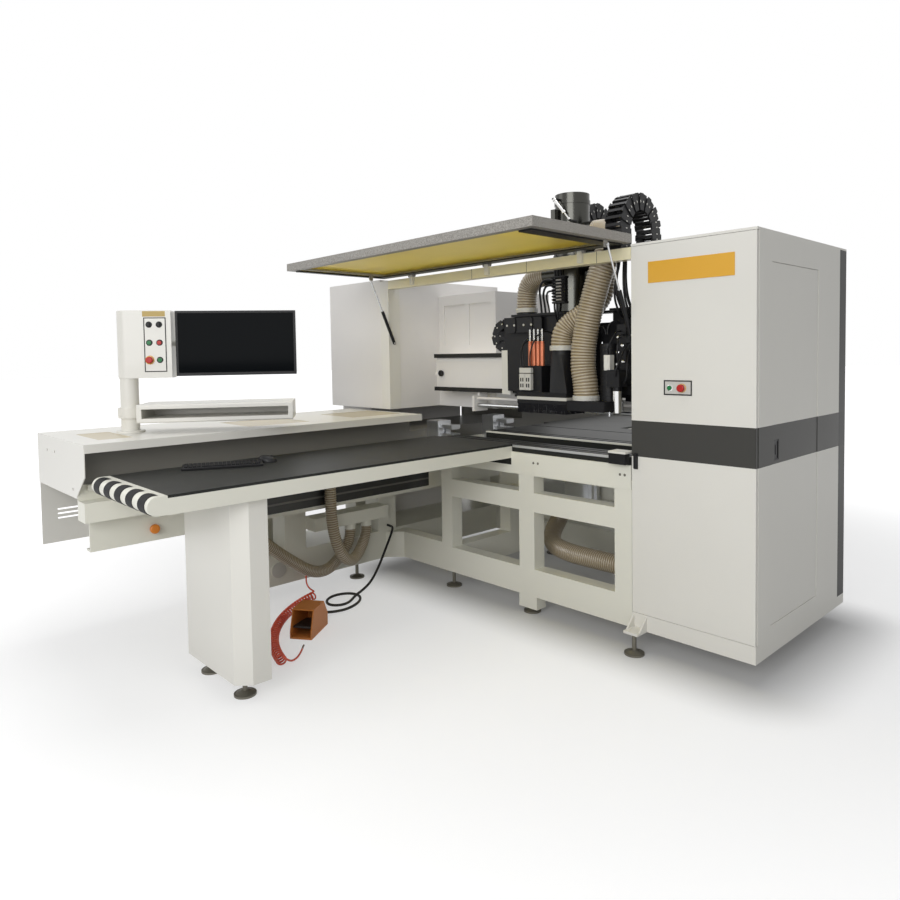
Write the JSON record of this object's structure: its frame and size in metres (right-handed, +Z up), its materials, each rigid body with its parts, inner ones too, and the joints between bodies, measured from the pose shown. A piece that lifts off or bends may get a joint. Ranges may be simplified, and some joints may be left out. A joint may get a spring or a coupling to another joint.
{
  "type": "cnc drilling and milling center",
  "caption": "Six-sided CNC drilling and milling centre for flat panels: clamp beam, roller-nosed tables, gantry with drill head, lift-up hood, cabinet and console.",
  "frame": {"origin": "centre of the bounding box on the floor", "axes": "+X to the operator's right towards the cabinet, +Y from the loading tables to the back, +Z up"},
  "size_m": [3.3, 5.3359, 2.432],
  "materials": {
    "white_paint": "satin powder coat",
    "cream_paint": "satin powder coat",
    "grey_paint": "satin powder coat",
    "dark_paint": "matt powder coat",
    "steel": "ground",
    "zinc": "zinc plated sheet",
    "aluminium": "milled",
    "black_plastic": "moulded",
    "white_plastic": "moulded",
    "green_plastic": "gloss",
    "red_plastic": "gloss",
    "orange_plastic": "gloss",
    "red_hose": "smooth polyurethane",
    "beige_hose": "ribbed",
    "black_rubber": "matt",
    "amber_glass": "tinted sheet",
    "bristle": "nylon bristle"
  },
  "bodies": {
    "frame": {"main_frame": "cream_paint", "inner_decks": "dark_paint", "table_frames": "cream_paint", "table_tops": "dark_paint", "table_legs": "white_paint", "levelling_feet": "zinc", "base_rail": "cream_paint", "beam_girder": "cream_paint", "beam_covers": "white_paint", "beam_end_panels": "white_paint", "left_housing": "white_paint", "left_tower": "white_paint", "opening_frame": "white_paint", "cross_beam": "cream_paint", "cabinet_shell": "white_paint", "pedal_guard": "orange_plastic", "pedal_cable": "black_rubber", "air_hose": "red_hose", "vacuum_hose_a": "beige_hose", "vacuum_hose_b": "beige_hose", "lower_dust_hose": "beige_hose", "console_post": "white_paint", "cable_chain_x": "black_plastic"},
    "hood": {"hood_frame": "grey_paint", "hood_window": "amber_glass"},
    "left_strut_body": {"left_strut_cylinder": "dark_paint"},
    "left_strut_stem": {"left_strut_rod": "steel"},
    "right_strut_body": {"right_strut_cylinder": "dark_paint"},
    "right_strut_stem": {"right_strut_rod": "steel"},
    "carriage": {"upper_carriage": "cream_paint", "dust_duct": "zinc", "cable_chain_arch": "black_plastic", "dust_hoses": "beige_hose"},
    "head": {"upper_head": "aluminium", "dust_boot": "white_paint", "brush_skirt": "bristle"},
    "bank": {"drill_bank": "steel"},
    "tool": {"milling_tool": "steel"},
    "lower_slide": {"lower_carriage": "aluminium"},
    "lower_unit": {"lower_head": "aluminium"},
    "clamp_front": {"front_clamp": "aluminium"},
    "jaw_front": {"front_clamp_jaw": "aluminium"},
    "clamp_rear": {"rear_clamp": "aluminium"},
    "jaw_rear": {"rear_clamp_jaw": "aluminium"},
    "table_roller": {"end_rollers": "black_rubber"},
    "panel_roller": {"press_roller": "steel"},
    "console": {"control_box": "white_paint"},
    "screen": {"monitor": "black_plastic"},
    "tray": {"keyboard_tray": "white_paint"},
    "selector_a": {"left_selector": "black_plastic"},
    "selector_b": {"right_selector": "black_plastic"},
    "button_start": {"start_button": "green_plastic"},
    "button_stop": {"stop_button": "red_plastic"},
    "button_emergency": {"emergency_stop": "red_plastic"},
    "button_reset": {"reset_button": "green_plastic"},
    "door_front": {"cabinet_front_door": "white_paint"},
    "door_side": {"cabinet_side_door": "white_paint"},
    "door_button_start": {"cabinet_start_button": "green_plastic"},
    "door_button_stop": {"cabinet_stop_button": "red_plastic"},
    "pedal": {"pedal_tread": "black_plastic"}
  },
  "joints": [
    {"name": "hood_lift", "type": "hinge", "parent": "frame", "child": "hood", "pos_m": [-0.0055, -0.574, 2.045], "axis": [1, 0, 0], "range_deg": [0, 88]},
    {"name": "left_strut_swing", "type": "hinge", "parent": "frame", "child": "left_strut_body", "pos_m": [-0.905, -0.534, 1.6], "axis": [1, 0, 0], "range_deg": [-18.3, 1]},
    {"name": "left_strut_stroke", "type": "slide", "parent": "left_strut_body", "child": "left_strut_stem", "axis": [0, -0.4169, 0.9089], "range_m": [-0.19286, 0.002]},
    {"name": "right_strut_swing", "type": "hinge", "parent": "frame", "child": "right_strut_body", "pos_m": [0.999, -0.534, 1.6], "axis": [1, 0, 0], "range_deg": [-18.3, 1]},
    {"name": "right_strut_stroke", "type": "slide", "parent": "right_strut_body", "child": "right_strut_stem", "axis": [0, -0.4169, 0.9089], "range_m": [-0.19286, 0.002]},
    {"name": "carriage_x", "type": "slide", "parent": "frame", "child": "carriage", "axis": [1, 0, 0], "range_m": [-0.72, 0.015], "deforming": ["cable_chain_x"]},
    {"name": "head_z", "type": "slide", "parent": "carriage", "child": "head", "axis": [0, 0, 1], "range_m": [-0.12, 0], "deforming": ["dust_hoses"]},
    {"name": "drill_stroke", "type": "slide", "parent": "head", "child": "bank", "axis": [0, 0, 1], "range_m": [-0.06, 0]},
    {"name": "milling_spin", "type": "hinge", "parent": "head", "child": "tool", "pos_m": [0.78, -0.399, 1.25], "axis": [0, 0, 1], "continuous": true},
    {"name": "lower_x", "type": "slide", "parent": "frame", "child": "lower_slide", "axis": [1, 0, 0], "range_m": [-0.35, 0.4]},
    {"name": "lower_z", "type": "slide", "parent": "lower_slide", "child": "lower_unit", "axis": [0, 0, 1], "range_m": [0, 0.08]},
    {"name": "front_clamp_y", "type": "slide", "parent": "frame", "child": "clamp_front", "axis": [0, 1, 0], "range_m": [-1.9, 0.14]},
    {"name": "front_jaw_grip", "type": "slide", "parent": "clamp_front", "child": "jaw_front", "axis": [0, 0, 1], "range_m": [-0.026, 0]},
    {"name": "rear_clamp_y", "type": "slide", "parent": "frame", "child": "clamp_rear", "axis": [0, 1, 0], "range_m": [-0.14, 1.9]},
    {"name": "rear_jaw_grip", "type": "slide", "parent": "clamp_rear", "child": "jaw_rear", "axis": [0, 0, 1], "range_m": [-0.026, 0]},
    {"name": "table_roller_spin", "type": "hinge", "parent": "frame", "child": "table_roller", "pos_m": [-0.461, -2.628, 0.942], "axis": [1, 0, 0], "continuous": true},
    {"name": "panel_roller_spin", "type": "hinge", "parent": "frame", "child": "panel_roller", "pos_m": [-0.38, -0.234, 1.168], "axis": [1, 0, 0], "continuous": true},
    {"name": "console_swivel", "type": "hinge", "parent": "frame", "child": "console", "pos_m": [-1, -2.302, 1.413], "axis": [0, 0, 1], "range_deg": [-60, 60]},
    {"name": "screen_tilt", "type": "hinge", "parent": "console", "child": "screen", "pos_m": [-0.90165, -2.06678, 1.6], "axis": [0.5592, 0.829, 0], "range_deg": [-8, 20]},
    {"name": "tray_swivel", "type": "hinge", "parent": "frame", "child": "tray", "pos_m": [-1, -2.302, 1.213], "axis": [0, 0, 1], "range_deg": [-60, 60]},
    {"name": "left_selector_turn", "type": "hinge", "parent": "console", "child": "selector_a", "pos_m": [-0.88811, -2.22911, 1.7], "axis": [-0.829, 0.5592, 0], "range_deg": [-45, 45]},
    {"name": "right_selector_turn", "type": "hinge", "parent": "console", "child": "selector_b", "pos_m": [-0.85903, -2.186, 1.7], "axis": [-0.829, 0.5592, 0], "range_deg": [-45, 45]},
    {"name": "start_push", "type": "slide", "parent": "console", "child": "button_start", "axis": [-0.829, 0.5592, 0], "range_m": [0, 0.0035], "stiffness_N_per_m": 900},
    {"name": "stop_push", "type": "slide", "parent": "console", "child": "button_stop", "axis": [-0.829, 0.5592, 0], "range_m": [0, 0.0035], "stiffness_N_per_m": 900},
    {"name": "emergency_push", "type": "slide", "parent": "console", "child": "button_emergency", "axis": [-0.829, 0.5592, 0], "range_m": [0, 0.0035], "stiffness_N_per_m": 900},
    {"name": "reset_push", "type": "slide", "parent": "console", "child": "button_reset", "axis": [-0.829, 0.5592, 0], "range_m": [0, 0.0035], "stiffness_N_per_m": 900},
    {"name": "door_start_push", "type": "slide", "parent": "door_front", "child": "door_button_start", "axis": [0, 1, 0], "range_m": [0, 0.0035], "stiffness_N_per_m": 900},
    {"name": "door_stop_push", "type": "slide", "parent": "door_front", "child": "door_button_stop", "axis": [0, 1, 0], "range_m": [0, 0.0035], "stiffness_N_per_m": 900},
    {"name": "front_door_open", "type": "hinge", "parent": "frame", "child": "door_front", "pos_m": [1.642, -0.556, 1.12], "axis": [0, 0, 1], "range_deg": [0, 110]},
    {"name": "side_door_open", "type": "hinge", "parent": "frame", "child": "door_side", "pos_m": [1.641, 0.148, 1.077], "axis": [0, 0, 1], "range_deg": [0, 110]},
    {"name": "pedal_press", "type": "hinge", "parent": "frame", "child": "pedal", "pos_m": [-0.40932, -1.54292, 0.034], "axis": [0.8192, 0.5736, 0], "range_deg": [0, 6], "stiffness_Nm_per_rad": 25, "springref_deg": -8.59}
  ],
  "couplings": [
    {"joint": "left_strut_swing", "follows": "hood_lift", "ratio": -0.19682},
    {"joint": "left_strut_stroke", "follows": "hood_lift", "m_per_rad": -0.12537},
    {"joint": "right_strut_swing", "follows": "hood_lift", "ratio": -0.19682},
    {"joint": "right_strut_stroke", "follows": "hood_lift", "m_per_rad": -0.12537}
  ]
}
